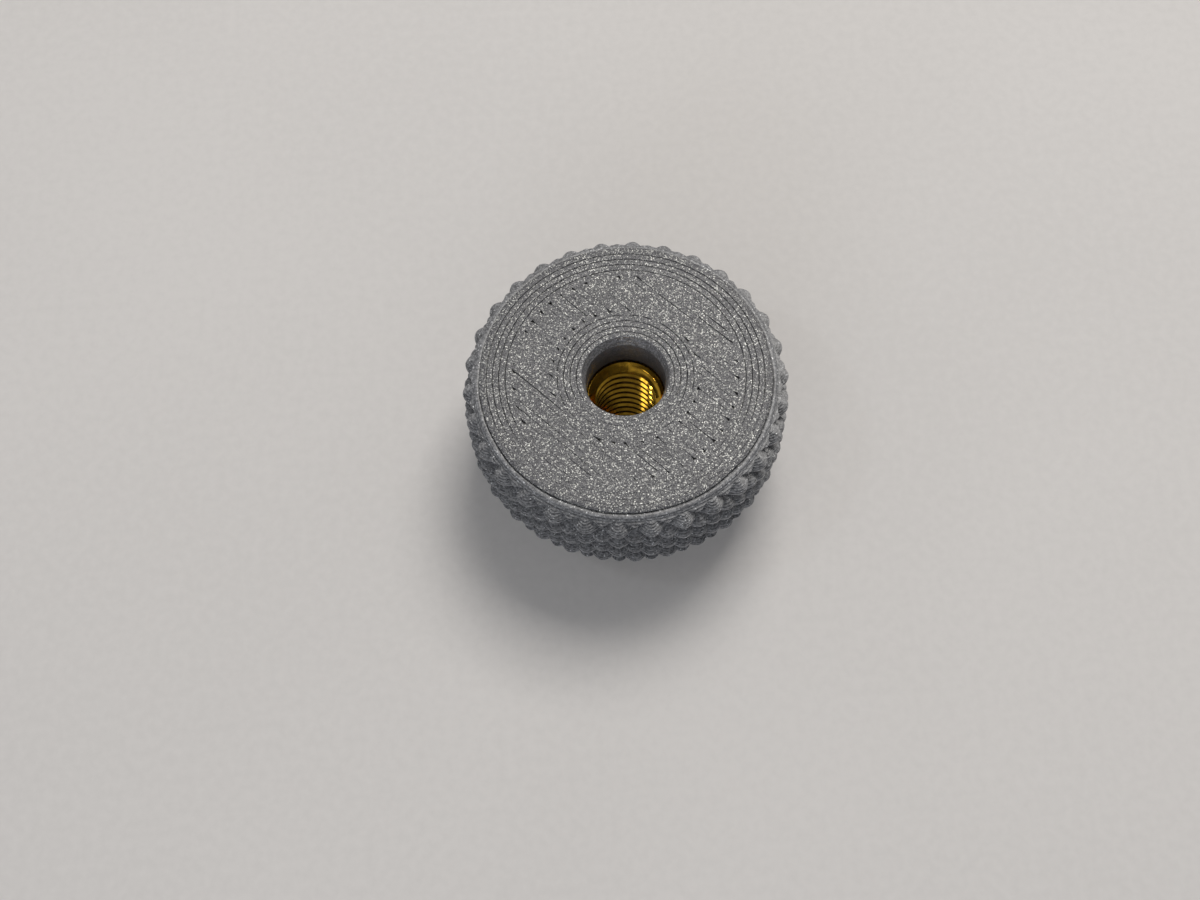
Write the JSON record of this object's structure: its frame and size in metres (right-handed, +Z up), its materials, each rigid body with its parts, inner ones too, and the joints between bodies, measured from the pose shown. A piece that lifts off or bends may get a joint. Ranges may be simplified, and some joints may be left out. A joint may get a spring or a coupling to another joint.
{
  "type": "air cleaner nut",
  "caption": "Round knurled thumb nut with a plain hub and a brass threaded insert through its centre, for fastening a cover on a stud by hand.",
  "frame": {"origin": "centre of the hub's end face, which the nut stands on", "axes": "+Z up the thread's axis to the flat face of the knurled head; +X and +Y are square to it, with a bump of the first full row of the knurl on +X"},
  "size_m": [0.027, 0.027, 0.014],
  "materials": {
    "printed_plastic": "silver-grey printed plastic with fine glitter, satin on the knurl and sparkling on the flat face",
    "brass": "bright turned brass"
  },
  "bodies": {
    "root": {"knob": "printed_plastic", "threaded_insert": "brass"}
  },
  "joints": []
}
